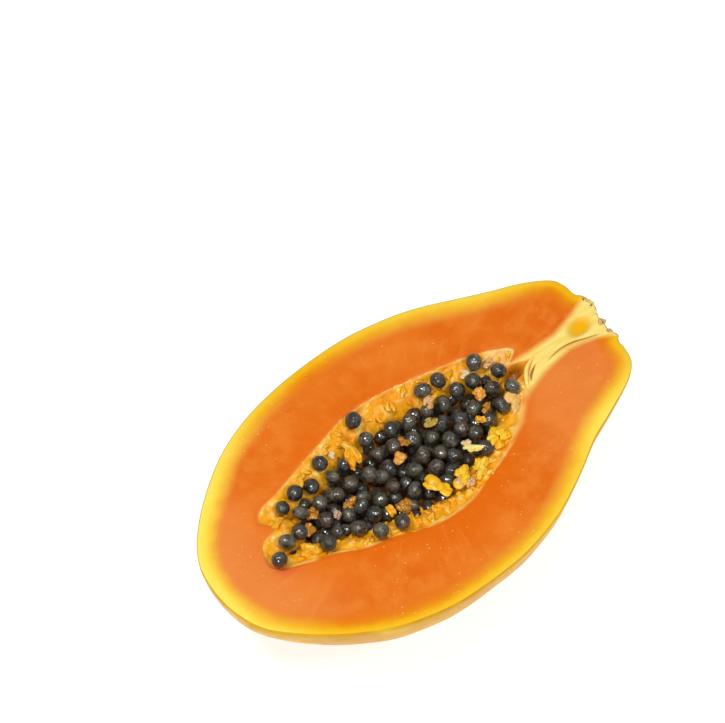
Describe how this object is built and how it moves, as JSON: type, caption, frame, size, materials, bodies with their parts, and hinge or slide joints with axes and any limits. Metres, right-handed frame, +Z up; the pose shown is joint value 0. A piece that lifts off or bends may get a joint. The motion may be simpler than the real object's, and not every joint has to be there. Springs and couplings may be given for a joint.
{
  "type": "papaya",
  "caption": "Ripe papaya half, cut lengthwise and lying on its back with the cut face up, its dark seeds in the central cavity.",
  "frame": {"origin": "on the surface the half rests on, under the middle of the part's box", "axes": "+X along the fruit from the blossom end to the stem end, +Y across the cut face, +Z up out of the cut face"},
  "size_m": [0.1634, 0.1, 0.0479],
  "materials": {
    "flesh": "moist orange flesh with a satin golden skin",
    "seed": "wet, glossy and nearly black"
  },
  "bodies": {
    "root": {"papaya_half": "flesh", "seed_01": "seed", "seed_02": "seed", "seed_03": "seed", "seed_04": "seed", "seed_05": "seed", "seed_06": "seed", "seed_07": "seed", "seed_08": "seed", "seed_09": "seed", "seed_10": "seed", "seed_11": "seed", "seed_12": "seed", "seed_13": "seed", "seed_14": "seed", "seed_15": "seed", "seed_16": "seed", "seed_17": "seed", "seed_18": "seed", "seed_19": "seed", "seed_20": "seed", "seed_21": "seed", "seed_22": "seed", "seed_23": "seed", "seed_24": "seed", "seed_25": "seed", "seed_26": "seed", "seed_27": "seed", "seed_28": "seed", "seed_29": "seed", "seed_30": "seed", "seed_31": "seed", "seed_32": "seed", "seed_33": "seed", "seed_34": "seed", "seed_35": "seed", "seed_36": "seed", "seed_37": "seed", "seed_38": "seed", "seed_39": "seed", "seed_40": "seed", "seed_41": "seed", "seed_42": "seed", "seed_43": "seed", "seed_44": "seed", "seed_45": "seed", "seed_46": "seed", "seed_47": "seed", "seed_48": "seed", "seed_49": "seed", "seed_50": "seed", "seed_51": "seed", "seed_52": "seed", "seed_53": "seed", "seed_54": "seed", "seed_55": "seed", "seed_56": "seed", "seed_57": "seed", "seed_58": "seed"}
  },
  "joints": []
}
